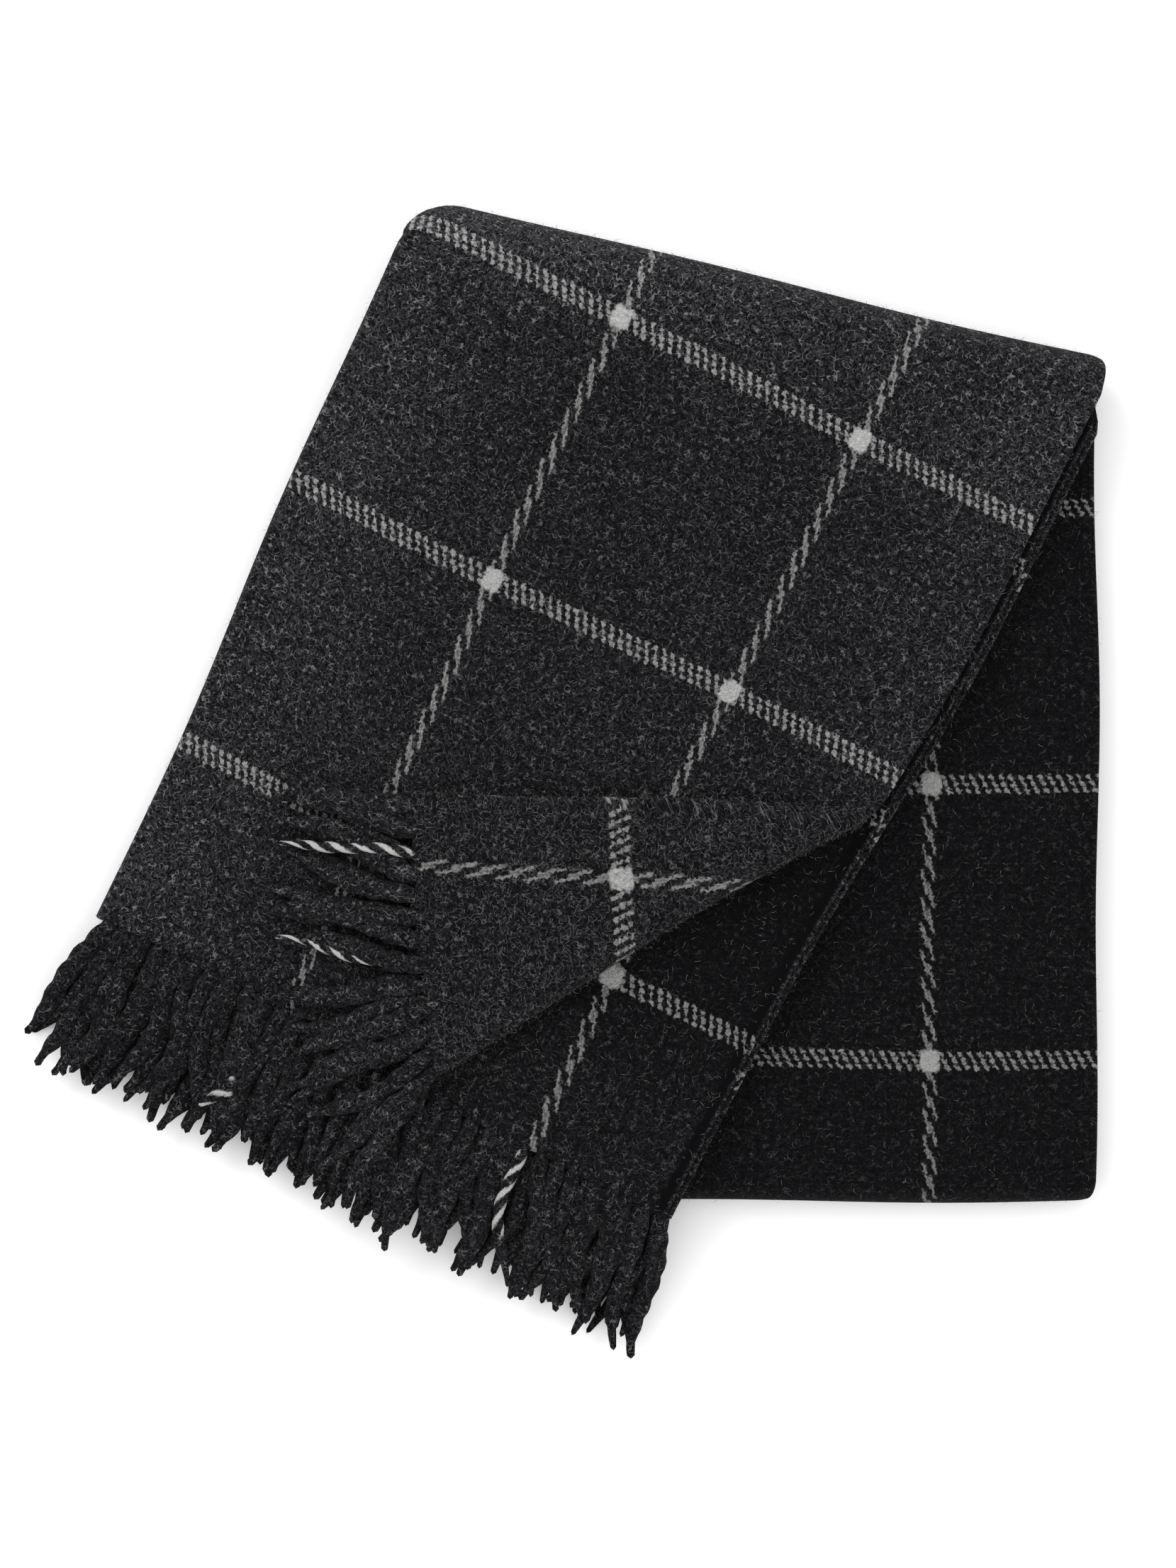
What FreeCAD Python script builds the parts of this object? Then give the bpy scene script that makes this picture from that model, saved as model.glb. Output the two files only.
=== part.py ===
"""Folded throw blanket: one cloth folded in four across its width, folded once at its middle and once
more on the skew, with a twisted fringe at the ends and the top corner turned back.

Millimetres. +Z is up, the throw lies on z = 0, and the origin is at the middle of the lower half's
underside. The lower half runs along Y. The skew fold at its +Y end sends the upper half down to the
left, over the side of the lower half and onto the surface, where it ends in the fringe.
"""

import FreeCAD, Part
import math
import os

import Sketcher
from FreeCAD import Matrix, Placement, Vector

SIZES = [
    ("cloth_thickness", 2.2, "felted cloth, one leaf"),
    ("leaf_gap", 0.3, "air between two leaves of the stack"),
    ("leaf_width", 321.0, "quarter of the cloth's width, from left fold to right fold"),
    ("selvedge_step", 3.0, "how far each selvedge leaf stands out past the one above"),
    ("lower_length", 409.0, "lower half, from bottom fold axis to top fold axis, at mid width"),
    ("upper_length", 392.0, "upper half, from top fold axis to the cloth's end, at mid width"),
    ("fold_skew", 13.3, "degrees by which the top fold runs off square"),
    ("drop_run", 45.0, "length over which a leaf comes down beside the lower half"),
    ("crease_start", 198.0, "from the top fold axis to the turned corner, on the right edge"),
    ("crease_angle", 32.3, "degrees between the right edge and the turned corner's crease"),
    ("corner_gap", 1.0, "air between the top leaf and the corner lying on it"),
    ("fringe_length", 68.0, "tassel, from the cloth's end to its tip"),
    ("tassel_width", 7.0, "tassel, pressed flat"),
    ("tassel_pitch", 10.0, "spacing of the tassels along the cloth's end"),
]

HALF_LEAVES = 8
GROUP = 4
PITCH = "(Sizes.cloth_thickness + Sizes.leaf_gap)"
DROP = f"({HALF_LEAVES} * {PITCH})"
RIGHT = "(Sizes.leaf_width / 2)"
LEFT = "(-Sizes.leaf_width / 2)"
OUTER_LEFT = f"({LEFT} - {PITCH})"
SUPPORT_EDGE = f"({LEFT} - 2 * {PITCH})"
FAR = "(Sizes.upper_length + Sizes.leaf_width)"
SKEW_TURN = "2 * Sizes.fold_skew"
CORNER_TURN = "2 * (Sizes.fold_skew + Sizes.crease_angle)"

doc = FreeCAD.newDocument("folded_throw")
sheet = doc.addObject("Spreadsheet::Sheet", "Sizes")
for row, (alias, value, meaning) in enumerate(SIZES, start=1):
    sheet.set(f"A{row}", meaning)
    sheet.set(f"B{row}", str(value))
    sheet.setAlias(f"B{row}", alias)
doc.recompute()

nodes = []


def size(expression):
    """The value that an expression on the sheet has now."""
    return float(sheet.evalExpression(expression))


def keep(obj, name):
    """Labels a finished sub-part and lists it for export."""
    obj.Label = name
    nodes.append(obj)
    return obj


# ---- places on the cloth: across is X on the lower half, along is the way past the top fold axis ----


def lower_top(across):
    """Y of the top fold axis at a place across the lower half."""
    return f"(Sizes.lower_length / 2 - ({across}) * tan(Sizes.fold_skew))"


def upper_point(across, along):
    """Plan point of the upper half, whose run is the lower half's mirrored in the top fold."""
    x = f"({across}) - ({along}) * sin({SKEW_TURN})"
    y = f"{lower_top(across)} - ({along}) * cos({SKEW_TURN})"
    return x, y


def end_along(across):
    """Run from the top fold axis to the cloth's end, which is square to the cloth's sides."""
    return f"(Sizes.upper_length + ({across}) * tan(Sizes.fold_skew))"


CORNER_SIDE = f"({end_along(RIGHT)} - Sizes.crease_start)"
CREASE_END = f"({RIGHT} - {CORNER_SIDE} * tan(Sizes.crease_angle))"
CREASE_TOP_POINT = upper_point(RIGHT, "Sizes.crease_start")
CREASE_END_POINT = upper_point(CREASE_END, end_along(CREASE_END))


def leaf_sides(kind):
    """Left and right edges of a leaf. A and A' meet in the right fold; B and B' end in selvedges."""
    left = LEFT if kind in ("A'", "B") else OUTER_LEFT
    steps = {"A": 0, "A'": 0, "B": 1, "B'": 2}[kind]
    return left, f"({RIGHT} + {steps} * Sizes.selvedge_step)"


LOWER_KINDS = ["A", "A'", "B", "B'", "B'", "B", "A'", "A"]
UPPER_KINDS = ["A", "A'", "B", "B'", "B'", "B", "A'", "A"]


def lower_outline(left, right):
    """Plan outline of the lower half between two places across it."""
    bottom = "-Sizes.lower_length / 2"
    return [(left, bottom), (right, bottom), (right, lower_top(right)), (left, lower_top(left))]


def upper_outline(left, right):
    """Plan outline of the upper half between two places across it."""
    return [
        upper_point(left, "0"),
        upper_point(right, "0"),
        upper_point(right, end_along(right)),
        upper_point(left, end_along(left)),
    ]


# ---- sketches and solids ----


def draw_polygon(sketch, points):
    """Draws a closed polygon whose every corner is bound to the sheet."""
    here = [Vector(size(x), size(y), 0) for x, y in points]
    count = len(points)
    for i in range(count):
        sketch.addGeometry(Part.LineSegment(here[i], here[(i + 1) % count]), False)
    for i in range(count):
        sketch.addConstraint(Sketcher.Constraint("Coincident", i, 2, (i + 1) % count, 1))
    for i, (x, y) in enumerate(points):
        for kind, letter, text, value in (
            ("DistanceX", "x", x, here[i].x),
            ("DistanceY", "y", y, here[i].y),
        ):
            number = sketch.addConstraint(Sketcher.Constraint(kind, -1, 1, i, 1, value))
            sketch.renameConstraint(number, f"{letter}{i}")
            sketch.setExpression(f"Constraints.{letter}{i}", text)


def flat_slab(name, points, bottom, height):
    """A PartDesign body: a plan outline padded up from a height."""
    body = doc.addObject("PartDesign::Body", f"{name}_body")
    sketch = body.newObject("Sketcher::SketchObject", f"{name}_outline")
    plane = [o for o in body.Origin.OriginFeatures if o.Role == "XY_Plane"][0]
    sketch.AttachmentSupport = [(plane, "")]
    sketch.MapMode = "FlatFace"
    sketch.setExpression("AttachmentOffset.Base.z", bottom)
    draw_polygon(sketch, points)
    pad = body.newObject("PartDesign::Pad", f"{name}_pad")
    pad.Profile = sketch
    pad.setExpression("Length", height)
    return keep(body, name)


def draped_slab(name, points, bottom, height):
    """A slab over the lower half that comes down beside it: a ramped ribbon cut to a plan outline."""
    foot = f"({SUPPORT_EDGE} - Sizes.drop_run)"
    under = [(f"-{FAR}", bottom), (foot, bottom)]
    under += [(SUPPORT_EDGE, f"{bottom} + {DROP}"), (FAR, f"{bottom} + {DROP}")]
    over = [(x, f"{z} + {height}") for x, z in reversed(under)]
    profile = doc.addObject("Sketcher::SketchObject", f"{name}_profile")
    profile.Placement = Placement(Vector(), FreeCAD.Rotation(Vector(1, 0, 0), 90))
    draw_polygon(profile, under + over)
    ribbon = doc.addObject("Part::Extrusion", f"{name}_ribbon")
    ribbon.Base = profile
    ribbon.DirMode = "Custom"
    ribbon.Dir = Vector(0, 1, 0)
    ribbon.Solid = True
    ribbon.setExpression("LengthFwd", FAR)
    ribbon.setExpression("LengthRev", FAR)
    plan = doc.addObject("Sketcher::SketchObject", f"{name}_plan")
    draw_polygon(plan, points)
    block = doc.addObject("Part::Extrusion", f"{name}_block")
    block.Base = plan
    block.DirMode = "Custom"
    block.Dir = Vector(0, 0, 1)
    block.Solid = True
    block.setExpression("LengthFwd", FAR)
    common = doc.addObject("Part::Common", f"{name}_common")
    common.Base = ribbon
    common.Tool = block
    return keep(common, name)


def fold_tube(name, start, along, outward, inner, length):
    """Half a tube of cloth round a fold's axis, which runs from start, bulging outward."""
    up = outward.cross(along)
    turn = Matrix(
        up.x, outward.x, along.x, 0,
        up.y, outward.y, along.y, 0,
        up.z, outward.z, along.z, 0,
        0, 0, 0, 1,
    )  # fmt: skip
    place = Placement(start, Placement(turn).Rotation)
    radii = {"skin": f"{inner} + Sizes.cloth_thickness", "core": inner}
    halves = {}
    for part, radius in radii.items():
        half = doc.addObject("Part::Cylinder", f"{name}_{part}")
        half.Angle = 180
        half.setExpression("Radius", radius)
        half.setExpression("Height", length)
        half.Placement = place
        halves[part] = half
    cut = doc.addObject("Part::Cut", f"{name}_cut")
    cut.Base = halves["skin"]
    cut.Tool = halves["core"]
    return keep(cut, name)


def leaf_bottom(number):
    """Height of a leaf's underside above what the stack rests on, counted from 1."""
    return f"{number - 1} * {PITCH}"


def wall_height(leaves):
    """Height of a side fold that closes so many leaves together."""
    return f"{leaves - 1} * {PITCH} + Sizes.cloth_thickness"


# ---- lower half: eight flat leaves, with the middle of the throw folded at its -Y end ----

for number, kind in enumerate(LOWER_KINDS, start=1):
    outline = lower_outline(*leaf_sides(kind))
    flat_slab(f"lower_leaf_{number}", outline, leaf_bottom(number), "Sizes.cloth_thickness")

for ring in range(1, GROUP + 1):
    left, right = leaf_sides(LOWER_KINDS[ring - 1])
    axis_height = size(f"{GROUP} * {PITCH} - Sizes.leaf_gap / 2")
    fold_tube(
        f"bottom_fold_{ring}",
        Vector(size(left), size("-Sizes.lower_length / 2"), axis_height),
        Vector(1, 0, 0),
        Vector(0, -1, 0),
        f"{GROUP - ring} * {PITCH} + Sizes.leaf_gap / 2",
        f"{right} - {left}",
    )

# ---- top fold: eight nested tubes on the skew, each joining a lower leaf to an upper one ----

skew = math.radians(size("Sizes.fold_skew"))
for ring in range(1, HALF_LEAVES + 1):
    left, right = leaf_sides(LOWER_KINDS[ring - 1])
    axis_height = size(f"{HALF_LEAVES} * {PITCH} - Sizes.leaf_gap / 2")
    fold_tube(
        f"top_fold_{ring}",
        Vector(size(left), size(lower_top(left)), axis_height),
        Vector(math.cos(skew), -math.sin(skew), 0),
        Vector(math.sin(skew), math.cos(skew), 0),
        f"{HALF_LEAVES - ring} * {PITCH} + Sizes.leaf_gap / 2",
        f"({right} - {left}) / cos(Sizes.fold_skew)",
    )

# ---- upper half: eight leaves that come down beside the lower half ----

TURNED_LEAVES = (7, 8)
for number, kind in enumerate(UPPER_KINDS, start=1):
    left, right = leaf_sides(kind)
    outline = upper_outline(left, right)
    if number in TURNED_LEAVES:
        outline = [outline[0], outline[1], CREASE_TOP_POINT, CREASE_END_POINT, outline[3]]
    draped_slab(f"upper_leaf_{number}", outline, leaf_bottom(number), "Sizes.cloth_thickness")

# ---- side folds: the right fold joins A and A', the inner left A' and B, the outer left A and B' ----

RIGHT_WALL = (RIGHT, f"({RIGHT} + Sizes.cloth_thickness)")
INNER_WALL = (f"({LEFT} - Sizes.cloth_thickness)", LEFT)
OUTER_WALL = (f"({OUTER_LEFT} - Sizes.cloth_thickness)", OUTER_LEFT)
FAR_RIGHT, FAR_LEFT = 2, 3  # corners of an upper outline at the cloth's end
# name, sides, lowest leaf, leaves closed: the same in both halves
SIDE_FOLDS = [
    ("right_fold_1", RIGHT_WALL, 1, 2),
    ("right_fold_2", RIGHT_WALL, 7, 2),
    ("inner_left_fold_1", INNER_WALL, 2, 2),
    ("inner_left_fold_2", INNER_WALL, 6, 2),
    ("outer_left_fold_1", OUTER_WALL, 1, 4),
    ("outer_left_fold_2", OUTER_WALL, 5, 4),
]
for name, sides, lowest, leaves in SIDE_FOLDS:
    flat_slab(f"lower_{name}", lower_outline(*sides), leaf_bottom(lowest), wall_height(leaves))
    outline = upper_outline(*sides)
    if sides is RIGHT_WALL and lowest in TURNED_LEAVES:
        for corner, across in ((FAR_RIGHT, sides[1]), (FAR_LEFT, sides[0])):
            along = f"Sizes.crease_start + (({across}) - {RIGHT}) * tan(Sizes.fold_skew)"
            outline[corner] = upper_point(across, along)
    draped_slab(f"upper_{name}", outline, leaf_bottom(lowest), wall_height(leaves))

# ---- turned corner: the two top leaves folded back over themselves along the crease ----

CORNER_BOTTOM = f"{2 * HALF_LEAVES} * {PITCH} - Sizes.leaf_gap + Sizes.corner_gap"
corner_run = (f"-sin({CORNER_TURN})", f"-cos({CORNER_TURN})")
corner_tip = tuple(f"{p} + {CORNER_SIDE} * ({d})" for p, d in zip(CREASE_TOP_POINT, corner_run))
corner_out = (f"-cos({CORNER_TURN})", f"sin({CORNER_TURN})")


def outside(point):
    """A point moved one cloth thickness out of the corner's free edge."""
    return tuple(f"{p} + Sizes.cloth_thickness * ({d})" for p, d in zip(point, corner_out))


for number in (1, 2):
    flat_slab(
        f"corner_leaf_{number}",
        [CREASE_TOP_POINT, corner_tip, CREASE_END_POINT],
        f"{CORNER_BOTTOM} + {leaf_bottom(number)}",
        "Sizes.cloth_thickness",
    )
flat_slab(
    "corner_edge_fold",
    [CREASE_TOP_POINT, outside(CREASE_TOP_POINT), outside(corner_tip), corner_tip],
    CORNER_BOTTOM,
    wall_height(2),
)

crease_turn = math.radians(size(f"{SKEW_TURN} + Sizes.crease_angle"))
crease_start = Vector(
    size(CREASE_TOP_POINT[0]),
    size(CREASE_TOP_POINT[1]),
    size(f"{CORNER_BOTTOM} - Sizes.corner_gap / 2"),
)
for ring in (1, 2):
    fold_tube(
        f"crease_fold_{ring}",
        crease_start,
        Vector(-math.sin(crease_turn), -math.cos(crease_turn), 0),
        Vector(math.cos(crease_turn), -math.sin(crease_turn), 0),
        f"{leaf_bottom(ring)} + Sizes.corner_gap / 2",
        f"{CORNER_SIDE} / cos(Sizes.crease_angle)",
    )

# ---- fringe: flat tassels that follow the ground under them ----

run_length = size("Sizes.fringe_length")
tassel_width = size("Sizes.tassel_width")
leaf_thickness = size("Sizes.cloth_thickness")
drop_height = size(DROP)
drop_run = size("Sizes.drop_run")
# the ground starts down half a tassel further out than the cloth does, to clear the tassel's edges
ground_left = size(SUPPORT_EDGE) - tassel_width / 2
ground_bottom = size(f"-Sizes.lower_length / 2 - {GROUP} * {PITCH}") - tassel_width / 2


def ground(point):
    """Height that the lower half holds a tassel up to, ramped down beyond its left and bottom."""
    beyond = max(ground_left - point.x, ground_bottom - point.y, 0.0)
    return drop_height * max(0.0, 1.0 - beyond / drop_run)


ALONG_EDGE = 0.1  # a run that closes in on an edge more slowly than this is taken as parallel to it
SAME_PLACE = 0.01  # two bends nearer than this are one bend


def bends(root, run):
    """Distances along a tassel where the ground under it changes slope, with both ends."""
    left, bottom = ground_left - root.x, ground_bottom - root.y
    found = [0.0, run_length]
    for edge in (0.0, drop_run):
        found.append((left - edge) / run.x)
        if abs(run.y) > ALONG_EDGE:
            found.append((bottom - edge) / run.y)
    if abs(run.x - run.y) > ALONG_EDGE:
        found.append((left - bottom) / (run.x - run.y))
    inside = sorted(x for x in found if 0.0 <= x <= run_length)
    return [x for x, after in zip(inside, inside[1:] + [math.inf]) if after - x > SAME_PLACE]


def tassel(root, run, bottom):
    """One tassel: a strip from root along run, whose underside keeps its height above the ground."""
    under = []
    for distance in bends(root, run):
        point = root + run * distance
        under.append(point + Vector(0, 0, bottom + ground(point)))
    over = [p + Vector(0, 0, leaf_thickness) for p in reversed(under)]
    side = Vector(-run.y, run.x, 0)
    half = side * (tassel_width / 2)
    edge = [p - half for p in under + over]
    face = Part.Face(Part.makePolygon(edge + edge[:1]))
    return face.extrude(side * tassel_width)


def fringe_row(name, roots, run, bottom):
    """A row of tassels, one from each root."""
    row = doc.addObject("Part::Feature", f"{name}_tassels")
    row.Shape = Part.makeCompound([tassel(root, run, bottom) for root in roots])
    row.Placement = Placement()
    return keep(row, name)


def places(low, high):
    """Middles of the tassels between two places on the end, on one grid, so rows lie one on another."""
    pitch, half = size("Sizes.tassel_pitch"), tassel_width / 2
    numbers = range(math.ceil((low + half) / pitch), math.floor((high - half) / pitch) + 1)
    return [number * pitch for number in numbers]


def plan_vector(point):
    """A plan point of the sheet as a vector."""
    return Vector(size(point[0]), size(point[1]), 0)


turn = math.radians(size(SKEW_TURN))
upper_run = Vector(-math.sin(turn), -math.cos(turn), 0)
for number, kind in enumerate(UPPER_KINDS, start=1):
    left, right = leaf_sides(kind)
    if number in TURNED_LEAVES:
        right = CREASE_END
    across = places(size(left), size(right))
    roots = [plan_vector(upper_point(f"{x}", end_along(f"{x}"))) for x in across]
    fringe_row(f"fringe_{number}", roots, upper_run, size(leaf_bottom(number)))

turned_run = Vector(size(corner_run[0]), size(corner_run[1]), 0)
crease_end = plan_vector(CREASE_END_POINT)
turned_end = plan_vector(corner_tip) - crease_end
turned_roots = [
    crease_end + turned_end * (x / turned_end.Length) for x in places(0, turned_end.Length)
]
# a tassel is level across, so on the ramp its edge stands this far over the one that it lies on
edge_rise = tassel_width / 2 * math.cos(turn) * drop_height / drop_run
lift = max(0.0, edge_rise + size("Sizes.leaf_gap - Sizes.corner_gap"))
for number in (1, 2):
    above = size(f"{CORNER_BOTTOM} - {DROP} + {leaf_bottom(number)}") + lift
    fringe_row(f"corner_fringe_{number}", turned_roots, turned_run, above)

# ---- check and write ----

doc.recompute()
for obj in doc.Objects:
    if "Invalid" in obj.State or "Error" in obj.State:
        raise RuntimeError(f"{obj.Label} failed: {obj.State}")
os.makedirs("parts", exist_ok=True)
for node in nodes:
    if node.Shape.isNull() or not node.Shape.isValid() or not node.Shape.Solids:
        raise RuntimeError(f"{node.Label} has no valid solid")
    node.Shape.exportStep(f"parts/{node.Label}.step")
print(f"{len(nodes)} nodes written")
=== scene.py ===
"""A woollen throw folded in four across, in half at its middle and once more on the skew, with one top
corner turned back over itself and a twisted fringe. Lengths in the shapes are millimetres until a mesh
is written, which turns them into metres."""

import bpy
import numpy as np
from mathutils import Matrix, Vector


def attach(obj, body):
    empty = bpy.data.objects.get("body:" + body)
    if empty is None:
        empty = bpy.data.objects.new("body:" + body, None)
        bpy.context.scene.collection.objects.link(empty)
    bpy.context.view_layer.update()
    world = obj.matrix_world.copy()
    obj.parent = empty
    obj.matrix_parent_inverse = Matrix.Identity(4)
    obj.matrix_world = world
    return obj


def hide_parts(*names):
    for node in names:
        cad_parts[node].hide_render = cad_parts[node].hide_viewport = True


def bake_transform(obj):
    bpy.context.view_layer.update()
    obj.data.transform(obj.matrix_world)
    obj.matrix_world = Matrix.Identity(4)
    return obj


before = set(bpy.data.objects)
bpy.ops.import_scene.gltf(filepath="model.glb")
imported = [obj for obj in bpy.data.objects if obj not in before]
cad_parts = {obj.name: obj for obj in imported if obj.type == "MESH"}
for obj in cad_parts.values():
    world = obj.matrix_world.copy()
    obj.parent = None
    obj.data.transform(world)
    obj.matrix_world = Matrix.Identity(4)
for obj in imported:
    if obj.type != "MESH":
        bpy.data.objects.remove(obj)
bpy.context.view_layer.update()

# ---- table, light and camera ----
# A pale board under the throw, a broad soft light over its upper left, a weaker one at the right, and
# a camera straight above. The camera comes first.

VIEW_CENTRE = (-0.0787, -0.016)
CAMERA_HEIGHT = 1.775

scene = bpy.context.scene
scene.view_settings.view_transform = "Standard"
camera = bpy.data.objects.new("camera", bpy.data.cameras.new("camera"))
camera.data.lens = 85.0
camera.data.sensor_width = 36.0
camera.data.clip_start, camera.data.clip_end = 0.05, 20.0
camera.location = (*VIEW_CENTRE, CAMERA_HEIGHT)
scene.collection.objects.link(camera)
scene.camera = camera


def soft_light(name, place, aim, size, watts):
    """A square area light at a place, turned to look at another."""
    lamp = bpy.data.lights.new(name, "AREA")
    lamp.size, lamp.energy = size, watts
    holder = bpy.data.objects.new(name, lamp)
    holder.location = place
    holder.rotation_mode = "QUATERNION"
    holder.rotation_quaternion = (Vector(aim) - Vector(place)).to_track_quat("-Z", "Y")
    scene.collection.objects.link(holder)


soft_light("window_light", (-1.1, 1.3, 1.5), (-0.08, 0.0, 0.0), 1.2, 17.0)
soft_light("side_fill", (1.6, -0.5, 1.6), (-0.08, 0.0, 0.0), 1.8, 7.0)
scene.world = bpy.data.worlds.new("studio")
scene.world.use_nodes = True
scene.world.node_tree.nodes["Background"].inputs[0].default_value = (1.0, 1.0, 1.0, 1.0)
scene.world.node_tree.nodes["Background"].inputs[1].default_value = 1.18


class Socket:
    """A shader socket whose arithmetic adds Math nodes."""

    def __init__(self, graph, link):
        self.graph, self.link = graph, link

    def _math(self, operation, *values):
        return self.graph.add("ShaderNodeMath", {"operation": operation}, dict(enumerate(values)))

    def __add__(self, other):
        return self._math("ADD", self, other)

    def __sub__(self, other):
        return self._math("SUBTRACT", self, other)

    def __rsub__(self, other):
        return self._math("SUBTRACT", other, self)

    def __mul__(self, other):
        return self._math("MULTIPLY", self, other)

    def __truediv__(self, other):
        return self._math("DIVIDE", self, other)

    __radd__, __rmul__ = __add__, __mul__

    def __abs__(self):
        return self._math("ABSOLUTE", self)

    def fract(self):
        return self._math("FRACT", self)

    def top(self, other):
        return self._math("MAXIMUM", self, other)

    def wrapped(self, pitch):
        """The value brought to within half a pitch of nought, by whole pitches."""
        return self._math("WRAP", self, pitch / 2, -pitch / 2)

    def rise(self, low, high):
        """Nought below low, one above high, and a smooth ramp between."""
        settings = {"interpolation_type": "SMOOTHSTEP"}
        values = {"Value": self, "From Min": low, "From Max": high}
        return self.graph.add("ShaderNodeMapRange", settings, values)


class Graph:
    """The nodes of one material."""

    def __init__(self, name):
        self.material = bpy.data.materials.new(name)
        self.material.use_nodes = True
        self.tree = self.material.node_tree
        self.tree.nodes.clear()

    def add(self, kind, settings=None, values=None, out=0):
        """Adds a node: its settings first, then its sockets' values or links. Returns one output."""
        node = self.tree.nodes.new(kind)
        for key, value in (settings or {}).items():
            setattr(node, key, value)
        for key, value in (values or {}).items():
            if isinstance(value, Socket):
                self.tree.links.new(value.link, node.inputs[key])
            else:
                node.inputs[key].default_value = value
        return Socket(self, node.outputs[out])

    def noise(self, place, scale, detail=2.0, rough=0.5):
        """Fine noise, nought to one, with so many features to a metre."""
        values = {"Vector": place, "Scale": scale, "Detail": detail, "Roughness": rough}
        return self.add("ShaderNodeTexNoise", {}, values)

    def vector(self, operation, first, second):
        """A vector Math node; the second value is a vector, or a number to scale by."""
        key = "Scale" if operation == "SCALE" else 1
        return self.add("ShaderNodeVectorMath", {"operation": operation}, {0: first, key: second})

    def bump(self, strength, height, **depth):
        """A normal tilted by a height."""
        return self.add("ShaderNodeBump", {}, {"Strength": strength, "Height": height, **depth})

    def mix(self, share, first, second):
        """Colour that goes from first to second by share."""
        values = {0: share, 6: first, 7: second}
        return self.add("ShaderNodeMix", {"data_type": "RGBA"}, values, out=2)

    def finish(self, colour, rough, normal, **constants):
        """Joins colour, roughness and normal to a Principled shader whose other sockets are plain."""
        values = {"Base Color": colour, "Roughness": rough, "Normal": normal, **constants}
        shader = self.add("ShaderNodeBsdfPrincipled", {}, values)
        output = self.tree.nodes.new("ShaderNodeOutputMaterial")
        self.tree.links.new(shader.link, output.inputs["Surface"])
        return self.material


def make_mesh(name, points, faces, material):
    """A mesh object from points in millimetres and a list of faces, shaded smooth."""
    mesh = bpy.data.meshes.new(name)
    mesh.from_pydata((points / 1000.0).tolist(), [], faces)
    mesh.polygons.foreach_set("use_smooth", np.ones(len(mesh.polygons), bool))
    mesh.materials.append(material)
    piece = bpy.data.objects.new(name, mesh)
    scene.collection.objects.link(piece)
    return piece


board_graph = Graph("pale_board")
board_place = board_graph.add("ShaderNodeTexCoord", out=3)
board_tone = board_graph.noise(board_place, 3.0) * 0.01 + 0.95
board_paint = board_graph.mix(board_tone, (0.0, 0.0, 0.0, 1.0), (1.0, 1.0, 1.0, 1.0))
board_bump = board_graph.bump(0.02, board_tone)
board_finish = board_graph.finish(board_paint, 0.9, board_bump)
BOARD_EDGES, BOARD_TOP = (-3000.0, 3000.0), -0.3
board_corners = np.array([[x, y, BOARD_TOP] for y in BOARD_EDGES for x in BOARD_EDGES])
make_mesh("board", board_corners, [[0, 1, 3, 2]], board_finish)

# ---- the wool ----
# Charcoal wool, woven in a broken twill, milled and raised until the weave hardly shows: a mat of
# curled grey hairs over near-black ground. A windowpane check of off-white yarn is woven in: two
# staggered lines of long floats along the cloth, and a band of three rows of short floats across it.

THIN_PITCH = 127.3
THICK_PITCH = 135.0
GROUND_WOOL = (0.0024, 0.0024, 0.0029, 1.0)
GREY_HAIR = (0.043, 0.043, 0.0465, 1.0)
PALE_HAIR = (0.15, 0.15, 0.157, 1.0)
OFF_WHITE = (0.45, 0.45, 0.44, 1.0)
LOW_SHINE = {"Specular IOR Level": 0.03, "Sheen Roughness": 0.4}


def hairs(graph, place, scale, width, gap):
    """Curled hairs: where a noise passes its middle it leaves a thin curved line, and a coarser noise
    rubs parts of each line out, which leaves short pieces."""
    line = 1.0 - abs(graph.noise(place, scale, 1.0, 0.4) - 0.5).rise(0.0, width)
    kept = graph.noise(place, scale * 0.9, 1.0).rise(gap, gap + 0.10)
    return line * kept


def nap(graph, place, nap_and_painted_light):
    """Colour and height of the felted ground: three layers of hairs over a mottled dark mat."""
    far = graph.vector("ADD", place, (3.1, 7.7, 1.3))
    fine = hairs(graph, place, 520.0, 0.085, 0.40)
    short = hairs(graph, far, 880.0, 0.12, 0.40)
    long = hairs(graph, far, 330.0, 0.036, 0.47)
    mottle = graph.noise(place, 260.0, 4.0, 0.7).rise(0.32, 0.70)
    cloud = graph.noise(place, 17.0, 2.0).rise(0.25, 0.75)
    cover = (fine * 0.85 + short * 0.6) * (0.35 + 0.75 * mottle) * (0.8 + 0.35 * cloud)
    cover = cover * nap_and_painted_light * nap_and_painted_light
    ground = graph.mix(mottle * nap_and_painted_light, GROUND_WOOL, (0.0046, 0.0046, 0.0053, 1.0))
    colour = graph.mix(cover, ground, GREY_HAIR)
    colour = graph.mix(long * 0.8 * nap_and_painted_light * nap_and_painted_light, colour, PALE_HAIR)
    height = mottle * 0.55 + fine * 0.25 + short * 0.2
    return colour, height


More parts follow.
